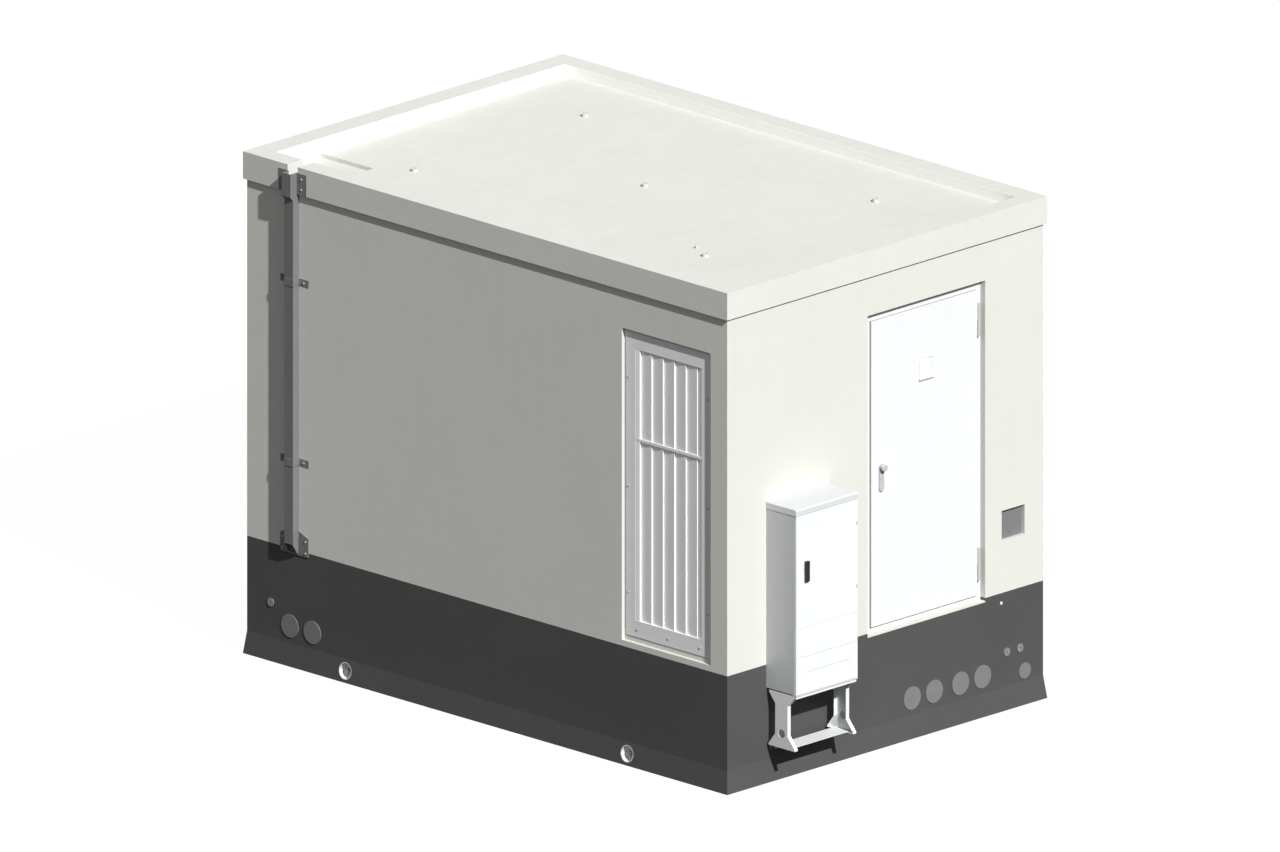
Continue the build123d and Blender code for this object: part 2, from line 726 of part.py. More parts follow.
plate_gap = 2.0
with BuildPart() as floor_plates:
    thick = (ledge_top, floor_top)
    block((pit_x - pit_wall / 2, in_x - 1), (-in_y + 1, front_beam - plate_gap), thick)
    block((pit_x - pit_wall / 2, in_x - 1), (front_beam, pit_y - plate_gap), thick)
    block((-in_x + 1, in_x - 1), (pit_y, beam_rows[0] - plate_gap), thick)
    block((-in_x + 1, in_x - 1), (beam_rows[0], beam_rows[1] - plate_gap), thick)
    block((-in_x + 1, in_x - 1), (beam_rows[1], beam_rows[2] - plate_gap), thick)
    block((-in_x + 1, in_x - 1), (beam_rows[2], in_y - 1), thick)
    block(hatch_x, hatch_y, (floor_top - hatch_plate, floor_top), Mode.SUBTRACT)
    block(
        (hatch_x[0] + hatch_rebate, hatch_x[1] - hatch_rebate),
        (hatch_y[0] + hatch_rebate, hatch_y[1] - hatch_rebate),
        thick,
        Mode.SUBTRACT,
    )
    for x in mv_places:
        rod((x, riser_y, ledge_top), up, mv_cable + 8, floor_plate, Mode.SUBTRACT)
    for x in rmu_cable_x:
        rod((x, rmu_cable_y, ledge_top), up, mv_cable + 8, floor_plate, Mode.SUBTRACT)
save(floor_plates, "floor_plates")

with BuildPart() as floor_hatch:
    block(
        (hatch_x[0] + 1, hatch_x[1] - 1),
        (hatch_y[0] + 1, hatch_y[1] - 1),
        (floor_top - hatch_plate, floor_top),
    )
    for x in (hatch_x[0] + 80, hatch_x[1] - 80):
        with Locations((x, sum(hatch_y) / 2, floor_top - hatch_plate / 2)):
            Box(24, 110, hatch_plate, mode=Mode.SUBTRACT)
save(floor_hatch, "floor_hatch")

# Oil transformer
rail_end = pit_x - pit_wall / 2 - 5
with BuildPart() as transformer_rails:
    for y in (tank_y[0] + 80, tank_y[1] - 80):
        block((-in_x + 1, rail_end), span(y, 60), (ledge_top, tank_bottom))
        block((-in_x + 1, rail_end), span(y, 44), (ledge_top, tank_bottom - 8), Mode.SUBTRACT)
save(transformer_rails, "transformer_rails")

with BuildPart() as transformer_tank:
    block(tank_x, tank_y, (tank_bottom, tank_top))
    for i in range(fin_count):
        x = sum(tank_x) / 2 + (i - (fin_count - 1) / 2) * fin_pitch
        deep = (tank_y[0] - fin_depth, tank_y[1] + fin_depth)
        block(span(x, 10), deep, (tank_bottom + 100, tank_top - 100))
    block(
        (tank_x[0] + 5, tank_x[1] - 5),
        (tank_y[0] + 5, tank_y[1] - 5),
        (tank_bottom + 5, tank_top),
        Mode.SUBTRACT,
    )
save(transformer_tank, "transformer_tank")

with BuildPart() as transformer_cover:
    block(
        (tank_x[0] - 40, tank_x[1] + 40),
        (tank_y[0] - 40, tank_y[1] + 40),
        (tank_top, cover_top),
    )
    rod((*tap_place, tank_top), up, 8 + running_gap, cover_plate, Mode.SUBTRACT)
save(transformer_cover, "transformer_cover")

with BuildPart() as mv_bushings:
    for x in mv_places:
        rod((x, mv_y, cover_top), up, 32, bushing_height - 30)
        for i in range(5):
            rod((x, mv_y, cover_top + 30 + 45 * i), up, 52, 10)
        rod((x, mv_y, cover_top), up, 12, bushing_height)
save(mv_bushings, "mv_bushings")

with BuildPart() as lv_bushings:
    for x in lv_places:
        rod((x, lv_y, cover_top), up, 40, 60)
        rod((x, lv_y, cover_top), up, 26, 100)
        block(span(x, 50), span(lv_y, 12), (cover_top + 90, cover_top + lv_height))
save(lv_bushings, "lv_bushings")

with BuildPart() as tap_changer:
    rod((*tap_place, tank_top - 30), up, 8, 60)
    rod((*tap_place, cover_top + 0.3), up, 30, 22)
    block(
        (tap_place[0], tap_place[0] + 42),
        span(tap_place[1], 10),
        (cover_top + 0.3, cover_top + 22),
    )
save(tap_changer, "tap_changer")

# Ring main unit: sheet cabinet, three panels, one operating shaft each
with BuildPart() as rmu_cabinet:
    block(rmu_x, (rmu_front, in_y), (floor_top, floor_top + rmu_height))
    block(
        (rmu_x[0] + 4, rmu_x[1] - 4),
        (rmu_front + 8, in_y - 4),
        (floor_top + 4, floor_top + rmu_height - 4),
        Mode.SUBTRACT,
    )
    for x in rmu_shafts:
        block(span(x, 360), (rmu_front - 6, rmu_front), (floor_top + 60, floor_top + 640))
        block(span(x, 360), (rmu_front - 6, rmu_front), (floor_top + 680, floor_top + 1340))
        rod((x, rmu_front - 6, shaft_z), (0, 1, 0), 10 + running_gap, 14, Mode.SUBTRACT)
    for x in rmu_cable_x:
        rod((x, rmu_cable_y, floor_top), up, mv_cable + 2, 4, Mode.SUBTRACT)
save(rmu_cabinet, "rmu_cabinet")

for number, x in enumerate(rmu_shafts):
    with BuildPart() as rmu_shaft:
        rod((x, rmu_front + 60, shaft_z), out, 10, 96)
        rod((x, rmu_front - 6.3, shaft_z), out, 22, 8)
        block(span(x, 8), (rmu_front - 30, rmu_front - 12), span(shaft_z, 36))
    save(rmu_shaft, "rmu_shaft_" + str(number + 1))

# Low-voltage board on the side wall
board_face = -in_x + board_back
rail_rows = (board_z[0] + 180, board_z[0] + 800)
with BuildPart() as lv_board:
    block((-in_x, board_face), board_y, board_z)
    block((board_face, board_face + switch_depth), span(switch_y, 350), span(switch_z, 500))
    rod(
        (board_face + switch_depth, switch_y, switch_z),
        left_out,
        10 + running_gap,
        40,
        Mode.SUBTRACT,
    )
    for z in rail_rows:
        block((board_face, board_face + 40), (board_y[0] + 580, board_y[1] - 40), span(z, 40))
save(lv_board, "lv_board")

with BuildPart() as lv_switch_handle:
    face = board_face + switch_depth
    rod((face - 35, switch_y, switch_z), (1, 0, 0), 10, 65)
    rod((face + 0.3, switch_y, switch_z), (1, 0, 0), 30, 14)
    block((face + 14, face + 32), span(switch_y, 26), (switch_z - 40, switch_z + 120))
save(lv_switch_handle, "lv_switch_handle")

with BuildPart() as fuse_strips:
    for i in range(8):
        y = board_y[0] + 630 + 108 * i
        block(
            (board_face + 40, board_face + strip_depth),
            span(y, 98),
            (rail_rows[0] - 40, rail_rows[1] + 40),
        )
        for z in (rail_rows[0] + 70, rail_rows[0] + 310, rail_rows[0] + 550):
            block((board_face + strip_depth, board_face + strip_depth + 30), span(y, 70), span(z, 150))
save(fuse_strips, "fuse_strips")


def cable(points, radius, bend):
    """Round cable along a line of points with rounded corners."""
    with BuildPart() as piece:
        with BuildLine() as route:
            FilletPolyline(*points, radius=bend)
        with BuildSketch(Plane(origin=route.line @ 0, z_dir=route.line % 0)):
            Circle(radius)
        sweep()
    return piece.part


# Cables from the ring main unit through the cellar to the transformer
mv_loop = 2260.0
mv_routes = []
for number, x in enumerate(mv_places):
    start_x = rmu_cable_x[number]
    deep = 330.0 + 70 * number
    mv_routes.append(
        [
            (start_x, rmu_cable_y, floor_top + 500),
            (start_x, rmu_cable_y, deep),
            (x, riser_y, deep),
            (x, riser_y, mv_loop),
            (x, mv_y, mv_loop),
            (x, mv_y, cover_top + bushing_height),
        ]
    )
mv_runs = [cable(points, mv_cable, 180) for points in mv_routes]
with BuildPart() as mv_cables:
    for run in mv_runs:
        add(run)
save(mv_cables, "mv_cables")

# Cables from the transformer to the main switch
lv_loop = 2500.0
lv_routes = []
for number, x in enumerate(lv_places):
    end_x = board_face + 40 + 50 * number
    end_y = switch_y - 120 + 80 * number
    lv_routes.append(
        [
            (x, lv_y, cover_top + lv_height),
            (x, lv_y, lv_loop),
            (end_x, end_y, lv_loop),
            (end_x, end_y, switch_z + 250),
        ]
    )
lv_runs = [cable(points, lv_cable, 120) for points in lv_routes]
with BuildPart() as lv_cables:
    for run in lv_runs:
        add(run)
save(lv_cables, "lv_cables")

# Street cabinet: housing with hinge lugs, cap, door, covers, handle
cab_axis = (cab_right - 6, cab_front + 6)
lug_heights = (door_foot + 179.0, cab_roof - 170.0)
lug = 12.0
cab_edge = cab_front + cab_door + 3
with BuildPart() as cabinet_housing:
    block((cab_left, cab_right), (cab_edge, front), (cab_bottom, cab_roof))
    block(
        (cab_left + cab_sheet, cab_right - cab_sheet),
        (cab_edge, front - sheet),
        (cab_bottom, cab_roof),
        Mode.SUBTRACT,
    )
    block((cab_left, cab_right), (cab_front, cab_edge + 20), (cab_bottom - 11, cab_bottom))
    for z in lug_heights:
        block((cab_axis[0] - 6, cab_right), (cab_front + 1, cab_edge + 4), span(z, 2 * lug))
        rod((*cab_axis, z - lug - 10), up, 3, 2 * lug + 20)
save(cabinet_housing, "cabinet_housing")

with BuildPart() as cabinet_cap:
    block((cab_left - 3, cab_right + 3), (cab_front - 3, front), (cab_roof, cab_roof + cab_cap))
    chamfer(cabinet_cap.faces().sort_by(Axis.Z)[-1].edges().sort_by(Axis.Y)[0:1], 8)
save(cabinet_cap, "cabinet_cap")

handle_x = cab_left + 96.0
handle_z = door_foot + 390.5
pivot_z = handle_z + 48.5
cover_x = (cab_left + cab_gap, cab_right - cab_gap)
cover_y = (cab_front, cab_front + cab_door)
with BuildPart() as cabinet_door:
    block(cover_x, cover_y, (door_foot + cab_gap, cab_roof - cab_gap))
    for z in lug_heights:
        block((cab_axis[0] - 9, cab_right), cover_y, span(z, 2 * lug + 2), Mode.SUBTRACT)
        rod((*cab_axis, z - lug - 12), up, 3 + running_gap, 2 * lug + 24, Mode.SUBTRACT)
    rod((handle_x, cab_front, pivot_z), (0, 1, 0), 8 + running_gap, cab_door, Mode.SUBTRACT)
save(cabinet_door, "cabinet_door")

with BuildPart() as cabinet_handle:
    block(span(handle_x, 38), (cab_front - 16, cab_front - 0.3), span(handle_z, 143))
    fillet(cabinet_handle.edges().filter_by(Axis.Y), 6)
    rod((handle_x, cab_front - 1, pivot_z), (0, 1, 0), 8, cab_door + 12)
save(cabinet_handle, "cabinet_handle")

lip_y = (cab_front + cab_door, cab_edge)
with BuildPart() as cabinet_cover:
    tall = (cover_foot + cab_gap, door_foot - cab_gap)
    block(cover_x, cover_y, tall)
    block((cover_x[0], cover_x[0] + 20), lip_y, tall)
    block((cover_x[1] - 20, cover_x[1]), lip_y, tall)
save(cabinet_cover, "cabinet_cover")

with BuildPart() as cabinet_lower_cover:
    tall = (cab_bottom + cab_gap, cover_foot - cab_gap)
    block(cover_x, cover_y, tall)
    block((cover_x[0], cover_x[0] + 20), lip_y, tall)
    block((cover_x[1] - 20, cover_x[1]), lip_y, tall)
    block(
        (cab_left + 75, cab_right - 69),
        (cab_front, cab_front + 3),
        (cab_bottom + 52, cab_bottom + 146),
        Mode.SUBTRACT,
    )
save(cabinet_lower_cover, "cabinet_lower_cover")

fuse_foot = door_foot + 79.0
with BuildPart() as cabinet_fuses:
    for i in range(5):
        x = cab_x + (i - 2) * 104
        block(span(x, 96), (front - 150, front - sheet), (fuse_foot, fuse_foot + 600))
        for z in (fuse_foot + 90, fuse_foot + 300, fuse_foot + 510):
            block(span(x, 70), (front - 180, front - 150), span(z, 140))
save(cabinet_fuses, "cabinet_fuses")

# Folded sheet legs that go into the ground, and the plate between them
leg_width = 30.0
leg_top = cab_bottom - 11
leg_foot = 268.0
leg_y = cab_front + 135.0
leg_outline = [
    (leg_y - 120.5, leg_top),
    (leg_y + 117.5, leg_top),
    (leg_y + 117.5, leg_top - 11),
    (leg_y + 60.5, leg_top - 81),
    (leg_y + 60.5, leg_foot + 92),
    (leg_y + 123, leg_foot + 12),
    (leg_y + 123, leg_foot),
    (leg_y - 120.5, leg_foot),
    (leg_y - 120.5, leg_foot + 12),
    (leg_y - 54.3, leg_foot + 92),
    (leg_y - 54.3, leg_top - 81),
    (leg_y - 120.5, leg_top - 11),
]


def leg(low_x, web_out):
    """Folded leg, its web on the outer side."""
    web = sheet if web_out < 0 else 0
    with BuildPart() as piece:
        with BuildSketch(Plane.YZ.offset(low_x)):
            with BuildLine():
                Polyline(*leg_outline, close=True)
            make_face()
        extrude(amount=leg_width)
        with BuildSketch(Plane.YZ.offset(low_x + web)):
            with BuildLine():
                Polyline(*leg_outline, close=True)
            make_face()
            offset(amount=-sheet, kind=Kind.INTERSECTION, mode=Mode.REPLACE)
        extrude(amount=leg_width - sheet, mode=Mode.SUBTRACT)
        rod((low_x, leg_y, leg_foot + 101), (1, 0, 0), 30, leg_width, Mode.SUBTRACT)
    return piece.part


left_leg = leg(cab_left, -1)
right_leg = leg(cab_right - leg_width, 1)
with BuildPart() as cabinet_legs:
    add(left_leg)
    add(right_leg)
    block(
        (cab_left + sheet, cab_right - sheet),
        span(leg_y + 4, 140),
        (leg_foot + sheet, leg_foot + 2 * sheet),
    )
save(cabinet_legs, "cabinet_legs")
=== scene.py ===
import json
import math

import bmesh
import bpy
import numpy as np
from mathutils import Matrix, Vector


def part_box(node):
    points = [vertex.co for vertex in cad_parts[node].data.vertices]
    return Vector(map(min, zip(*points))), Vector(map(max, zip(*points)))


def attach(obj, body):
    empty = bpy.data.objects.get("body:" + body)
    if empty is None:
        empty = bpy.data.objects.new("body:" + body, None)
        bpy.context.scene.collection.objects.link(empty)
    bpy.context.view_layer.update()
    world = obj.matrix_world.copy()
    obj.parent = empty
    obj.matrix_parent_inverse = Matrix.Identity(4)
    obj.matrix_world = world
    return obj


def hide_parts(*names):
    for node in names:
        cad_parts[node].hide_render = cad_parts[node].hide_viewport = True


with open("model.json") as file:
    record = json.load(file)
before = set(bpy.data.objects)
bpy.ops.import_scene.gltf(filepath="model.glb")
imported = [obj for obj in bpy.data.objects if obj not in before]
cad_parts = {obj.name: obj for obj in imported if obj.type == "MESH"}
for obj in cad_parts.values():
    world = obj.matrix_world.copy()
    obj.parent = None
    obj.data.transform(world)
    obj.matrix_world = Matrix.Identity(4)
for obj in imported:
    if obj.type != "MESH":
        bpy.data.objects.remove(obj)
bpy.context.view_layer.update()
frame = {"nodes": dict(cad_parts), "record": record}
nodes = frame["nodes"]
slot_of = {row["node"]: row["material_slot"] for row in frame["record"]["subparts"]}
body_of = {n: b for b, members in frame["record"]["behaviour"]["bodies"].items() for n in members}
scene = bpy.context.scene


# ---------------------------------------------------------------- camera, light and floor
VIEW_RIGHT = Vector((0.70092, -0.71324, 0.0))
VIEW_UP = Vector((0.21309, 0.20941, 0.95432))
VIEW_BACK = Vector((-0.68066, -0.66890, 0.29876))
VIEW_WIDTH = 8.519
VIEW_PLACE = VIEW_RIGHT * -0.0339 + VIEW_UP * 1.6606 + VIEW_BACK * 20
SUN_FROM, SUN_STRENGTH, SUN_ANGLE = (-0.2056, -0.755, 0.623), 5.55, 1.0
SKY_COLOUR, SKY_STRENGTH = (0.97, 0.985, 1.0, 1.0), 0.36
FLOOR_GLOW, FLOOR_PALE, FLOOR_DULL, FLOOR_REACH = 0.97, (0.05, 0.05, 0.05, 1), (0.06, 0.06, 0.06, 1), 60.0


def place_camera():
    """Parallel view from the grille corner, a little above the eaves."""
    data = bpy.data.cameras.new("station_view")
    data.type = "ORTHO"
    data.ortho_scale = VIEW_WIDTH
    data.clip_end = 200
    camera = bpy.data.objects.new("station_view", data)
    scene.collection.objects.link(camera)
    turn = Matrix((VIEW_RIGHT, VIEW_UP, VIEW_BACK)).transposed().to_4x4()
    camera.matrix_world = Matrix.Translation(VIEW_PLACE) @ turn
    scene.camera = camera


def sun(name, source, strength, angle):
    """Sun lamp shining from a direction."""
    data = bpy.data.lights.new(name, "SUN")
    data.energy = strength
    data.angle = math.radians(angle)
    lamp = bpy.data.objects.new(name, data)
    lamp.rotation_euler = Vector(source).to_track_quat("Z", "Y").to_euler()
    scene.collection.objects.link(lamp)


def light_studio():
    """Sun from the front left and an even sky."""
    sun("key", SUN_FROM, SUN_STRENGTH, SUN_ANGLE)
    world = bpy.data.worlds.new("even_sky")
    scene.world = world
    world.use_nodes = True
    tree = world.node_tree
    tree.nodes["Background"].inputs["Color"].default_value = SKY_COLOUR
    tree.nodes["Background"].inputs["Strength"].default_value = SKY_STRENGTH
    bright = tree.nodes.new("ShaderNodeBackground")
    bright.inputs["Strength"].default_value = 1.0
    path = tree.nodes.new("ShaderNodeLightPath")
    mix = tree.nodes.new("ShaderNodeMixShader")
    tree.links.new(path.outputs["Is Camera Ray"], mix.inputs["Fac"])
    tree.links.new(tree.nodes["Background"].outputs[0], mix.inputs[1])
    tree.links.new(bright.outputs[0], mix.inputs[2])
    tree.links.new(mix.outputs[0], tree.nodes["World Output"].inputs["Surface"])
    scene.view_settings.view_transform = "Standard"


def lay_floor():
    """Plain pale floor under the tub."""
    mesh = bpy.data.meshes.new("studio_floor")
    corners = [(x * FLOOR_REACH, y * FLOOR_REACH, 0) for x, y in ((-1, -1), (1, -1), (1, 1), (-1, 1))]
    mesh.from_pydata(corners, [], [(0, 1, 2, 3)])
    floor = bpy.data.objects.new("studio_floor", mesh)
    scene.collection.objects.link(floor)
    paint = bpy.data.materials.new("pale_floor")
    paint.use_nodes = True
    tree = paint.node_tree
    tree.nodes.clear()
    out = tree.nodes.new("ShaderNodeOutputMaterial")
    mix = tree.nodes.new("ShaderNodeMixShader")
    add = tree.nodes.new("ShaderNodeAddShader")
    path = tree.nodes.new("ShaderNodeLightPath")
    glow = tree.nodes.new("ShaderNodeEmission")
    glow.inputs["Strength"].default_value = FLOOR_GLOW
    pale = tree.nodes.new("ShaderNodeBsdfDiffuse")
    pale.inputs["Color"].default_value = FLOOR_PALE
    dull = tree.nodes.new("ShaderNodeBsdfDiffuse")
    dull.inputs["Color"].default_value = FLOOR_DULL
    tree.links.new(path.outputs["Is Camera Ray"], mix.inputs["Fac"])
    tree.links.new(dull.outputs[0], mix.inputs[1])
    tree.links.new(glow.outputs[0], add.inputs[0])
    tree.links.new(pale.outputs[0], add.inputs[1])
    tree.links.new(add.outputs[0], mix.inputs[2])
    tree.links.new(mix.outputs[0], out.inputs["Surface"])
    mesh.materials.append(paint)


place_camera()
light_studio()
lay_floor()


# ---------------------------------------------------------------- node groups for finishes
class Wiring:
    """Shorthand for laying out nodes in one tree."""

    def __init__(self, tree):
        self.tree = tree

    def node(self, kind, **values):
        made = self.tree.nodes.new(kind)
        for key, value in values.items():
            setattr(made, key, value)
        return made

    def join(self, source, target):
        self.tree.links.new(source, target)

    def math(self, operation, first, second=None, clamp=False):
        made = self.node("ShaderNodeMath", operation=operation, use_clamp=clamp)
        for socket, value in zip(made.inputs, (first, second)):
            if value is None:
                continue
            if isinstance(value, (int, float)):
                socket.default_value = value
            else:
                self.join(value, socket)
        return made.outputs[0]

    def stretch(self, value, low, high, to_low, to_high):
        made = self.node("ShaderNodeMapRange")
        for name, item in (("From Min", low), ("From Max", high), ("To Min", to_low), ("To Max", to_high)):
            if isinstance(item, (int, float)):
                made.inputs[name].default_value = item
            else:
                self.join(item, made.inputs[name])
        self.join(value, made.inputs["Value"])
        return made.outputs["Result"]

    def noise(self, vector, scale, detail=4.0, rough=0.55):
        made = self.node("ShaderNodeTexNoise")
        made.inputs["Detail"].default_value = detail
        made.inputs["Roughness"].default_value = rough
        if isinstance(scale, (int, float)):
            made.inputs["Scale"].default_value = scale
        else:
            self.join(scale, made.inputs["Scale"])
        self.join(vector, made.inputs["Vector"])
        return made.outputs["Fac"]

    def scaled(self, vector, factors):
        made = self.node("ShaderNodeVectorMath", operation="MULTIPLY")
        self.join(vector, made.inputs[0])
        made.inputs[1].default_value = factors
        return made.outputs[0]

    def tint(self, colour, factor):
        """Colour times a grey value."""
        made = self.node("ShaderNodeVectorMath", operation="SCALE")
        self.join(colour, made.inputs[0])
        self.join(factor, made.inputs["Scale"])
        return made.outputs[0]


def new_group(name, ins, outs):
    """Shader node group with named sockets, and the wiring inside it."""
    tree = bpy.data.node_groups.new(name, "ShaderNodeTree")
    for label, kind, value in ins:
        socket = tree.interface.new_socket(name=label, in_out="INPUT", socket_type=kind)
        socket.default_value = value
    for label, kind in outs:
        tree.interface.new_socket(name=label, in_out="OUTPUT", socket_type=kind)
    work = Wiring(tree)
    return work, work.node("NodeGroupInput"), work.node("NodeGroupOutput")


FLOAT, COLOUR = "NodeSocketFloat", "NodeSocketColor"


def cloud_group():
    """Broad and medium blotches that lighten and darken a colour."""
    ins = [("Colour", COLOUR, (0.8, 0.8, 0.8, 1)), ("Amount", FLOAT, 0.05), ("Size", FLOAT, 1.2)]
    work, start, end = new_group("cloudy_tone", ins, [("Colour", COLOUR), ("Mask", FLOAT)])
    place = work.node("ShaderNodeTexCoord").outputs["Object"]
    broad = work.noise(place, start.outputs["Size"], 5.0, 0.6)
    near = work.noise(place, work.math("MULTIPLY", start.outputs["Size"], 9.0), 4.0, 0.6)
    both = work.math("ADD", work.math("MULTIPLY", broad, 0.65), work.math("MULTIPLY", near, 0.35))
    low = work.math("SUBTRACT", 1.0, start.outputs["Amount"])
    high = work.math("ADD", 1.0, work.math("MULTIPLY", start.outputs["Amount"], 0.6))
    tone = work.stretch(both, 0.33, 0.67, low, high)
    work.join(work.tint(start.outputs["Colour"], tone), end.inputs["Colour"])
    work.join(both, end.inputs["Mask"])
    return end.id_data


def streak_group():
    """Faint upright rain streaks, strongest under the eaves, and splashes near the ground."""
    ins = [("Colour", COLOUR, (0.8, 0.8, 0.8, 1)), ("Amount", FLOAT, 0.05), ("Top", FLOAT, 3.3),
           ("Splash", FLOAT, 0.0)]
    work, start, end = new_group("rain_marks", ins, [("Colour", COLOUR), ("Mask", FLOAT)])
    place = work.node("ShaderNodeTexCoord").outputs["Object"]
    split = work.node("ShaderNodeSeparateXYZ")
    work.join(place, split.inputs[0])
    drawn_out = work.scaled(place, (14.0, 14.0, 0.35))
    streaks = work.stretch(work.noise(drawn_out, 1.0, 5.0, 0.65), 0.5, 0.72, 0.0, 1.0)
    drop = work.math("SUBTRACT", start.outputs["Top"], split.outputs["Z"])
    fade = work.stretch(drop, 0.0, 1.6, 1.0, 0.15)
    mask = work.math("MULTIPLY", streaks, fade, True)
    patch = work.noise(place, 7.0, 5.0, 0.7)
    reach = work.math("MULTIPLY", patch, 0.45)
    near_ground = work.stretch(work.math("SUBTRACT", split.outputs["Z"], reach), 0.0, 0.12, 1.0, 0.0)
    wet = work.math("MULTIPLY", near_ground, start.outputs["Splash"], True)
    dark = work.math("SUBTRACT", 1.0, work.math("MULTIPLY", mask, start.outputs["Amount"]))
    lit = work.math("ADD", dark, wet)
    work.join(work.tint(start.outputs["Colour"], lit), end.inputs["Colour"])
    work.join(mask, end.inputs["Mask"])
    return end.id_data


def grain_group():
    """Fine grain height: two sizes of noise and scattered pits."""
    ins = [("Size", FLOAT, 250.0), ("Pits", FLOAT, 0.3)]
    work, start, end = new_group("fine_grain", ins, [("Height", FLOAT), ("Pit mask", FLOAT)])
    place = work.node("ShaderNodeTexCoord").outputs["Object"]
    fine = work.noise(place, start.outputs["Size"], 3.0, 0.6)
    coarse = work.noise(place, work.math("MULTIPLY", start.outputs["Size"], 0.16), 3.0, 0.5)
    cells = work.node("ShaderNodeTexVoronoi")
    work.join(place, cells.inputs["Vector"])
    work.join(work.math("MULTIPLY", start.outputs["Size"], 0.12), cells.inputs["Scale"])
    pits = work.stretch(cells.outputs["Distance"], 0.05, 0.16, 1.0, 0.0)
    keep = work.stretch(coarse, 0.5, 0.56, 0.0, 1.0)
    deep = work.math("MULTIPLY", work.math("MULTIPLY", pits, keep), start.outputs["Pits"], True)
    level = work.math("ADD", work.math("MULTIPLY", fine, 0.5), work.math("MULTIPLY", coarse, 0.5))
    work.join(work.math("SUBTRACT", level, deep), end.inputs["Height"])
    work.join(deep, end.inputs["Pit mask"])
    return end.id_data


def dust_group():
    """Pale dust that settles on faces that look up, in soft patches."""
    ins = [("Colour", COLOUR, (0.8, 0.8, 0.8, 1)), ("Amount", FLOAT, 0.2)]
    work, start, end = new_group("settled_dust", ins, [("Colour", COLOUR), ("Mask", FLOAT)])
    shape = work.node("ShaderNodeNewGeometry")
    place = work.node("ShaderNodeTexCoord").outputs["Object"]
    split = work.node("ShaderNodeSeparateXYZ")
    work.join(shape.outputs["Normal"], split.inputs[0])
    upward = work.stretch(split.outputs["Z"], 0.3, 0.95, 0.0, 1.0)
    patches = work.stretch(work.noise(place, 16.0, 6.0, 0.7), 0.35, 0.7, 0.0, 1.0)
    mask = work.math("MULTIPLY", work.math("MULTIPLY", upward, patches), start.outputs["Amount"], True)
    mix = work.node("ShaderNodeMix", data_type="RGBA")
    work.join(mask, mix.inputs["Factor"])
    work.join(start.outputs["Colour"], mix.inputs["A"])
    mix.inputs["B"].default_value = (0.52, 0.49, 0.43, 1)
    work.join(mix.outputs["Result"], end.inputs["Colour"])
    work.join(mask, end.inputs["Mask"])
    return end.id_data


CLOUD, STREAK, GRAIN, DUST = cloud_group(), streak_group(), grain_group(), dust_group()


def use_group(work, group, links=None, **values):
    """Places a group, links some of its inputs and sets others."""
    made = work.node("ShaderNodeGroup", node_tree=group)
    for name, value in values.items():
        made.inputs[name].default_value = value
    for name, source in (links or {}).items():
        work.join(source, made.inputs[name])
    return made


def finish(name, colour, rough, metal=0.0, cloud=(0.04, 1.2), streak=None, grain=(260.0, 0.2),
           bump=(0.25, 0.0006), dust=0.0, rough_spread=0.08, coat=0.0, pattern=None):
    """Procedural finish: colour through cloud, streak and dust, rough from blotches, bump from the grain.

    cloud is amount and size, streak is amount, top and splash, grain is size and pits, bump is strength
    and distance.
    """
    paint = bpy.data.materials.new(name)
    paint.use_nodes = True
    paint.diffuse_color = (*colour, 1)
    work = Wiring(paint.node_tree)
    shader = paint.node_tree.nodes["Principled BSDF"]
    tone = use_group(work, CLOUD, Colour=(*colour, 1), Amount=cloud[0], Size=cloud[1])
    shade, mask = tone.outputs["Colour"], tone.outputs["Mask"]
    if streak:
        marks = use_group(work, STREAK, {"Colour": shade}, Amount=streak[0], Top=streak[1], Splash=streak[2])
        shade = marks.outputs["Colour"]
    surface = use_group(work, GRAIN, Size=grain[0], Pits=grain[1])
    height = surface.outputs["Height"]
    if pattern:
        shade, height = pattern(work, shade, height)
    if dust:
        cover = use_group(work, DUST, {"Colour": shade}, Amount=dust)
        shade = cover.outputs["Colour"]
    work.join(shade, shader.inputs["Base Color"])
    work.join(work.stretch(mask, 0.3, 0.7, max(rough - rough_spread, 0.02), min(rough + rough_spread, 1.0)),
              shader.inputs["Roughness"])
    shader.inputs["Metallic"].default_value = metal
    shader.inputs["Coat Weight"].default_value = coat
    relief = work.node("ShaderNodeBump")
    relief.inputs["Strength"].default_value = bump[0]
    relief.inputs["Distance"].default_value = bump[1]
    work.join(height, relief.inputs["Height"])
    work.join(relief.outputs["Normal"], shader.inputs["Normal"])
    return paint


def object_place(work):
    """Object coordinates split into X, Y and Z."""
    split = work.node("ShaderNodeSeparateXYZ")
    work.join(work.node("ShaderNodeTexCoord").outputs["Object"], split.inputs[0])
    return split.outputs


def perforated(work, shade, height):
    """Round holes in rows, five millimetres apart: the dots are darkened with painted shade for the holes,
    and sunk in the bump.
    """
    place = object_place(work)
    pitch = 2 * math.pi / 0.005
    rows = work.math("SINE", work.math("MULTIPLY", place["Y"], pitch))
    steps = work.math("SINE", work.math("MULTIPLY", place["Z"], pitch))
    dots = work.stretch(work.math("MULTIPLY", rows, steps), 0.45, 0.7, 0.0, 1.0)
    # Painted shade: darkens each dot by up to half, for the shade inside a hole.
    dark = work.math("SUBTRACT", 1.0, work.math("MULTIPLY", dots, 0.5))
    return work.tint(shade, dark), work.math("SUBTRACT", height, dots)


def spangle(work, shade, height):
    """Zinc crystals: cells of slightly different grey."""
    cells = work.node("ShaderNodeTexVoronoi")
    cells.inputs["Scale"].default_value = 60.0
    work.join(work.node("ShaderNodeTexCoord").outputs["Object"], cells.inputs["Vector"])
    grey = work.node("ShaderNodeSeparateColor")
    work.join(cells.outputs["Color"], grey.inputs[0])
    return work.tint(shade, work.stretch(grey.outputs[0], 0.0, 1.0, 0.85, 1.08)), height


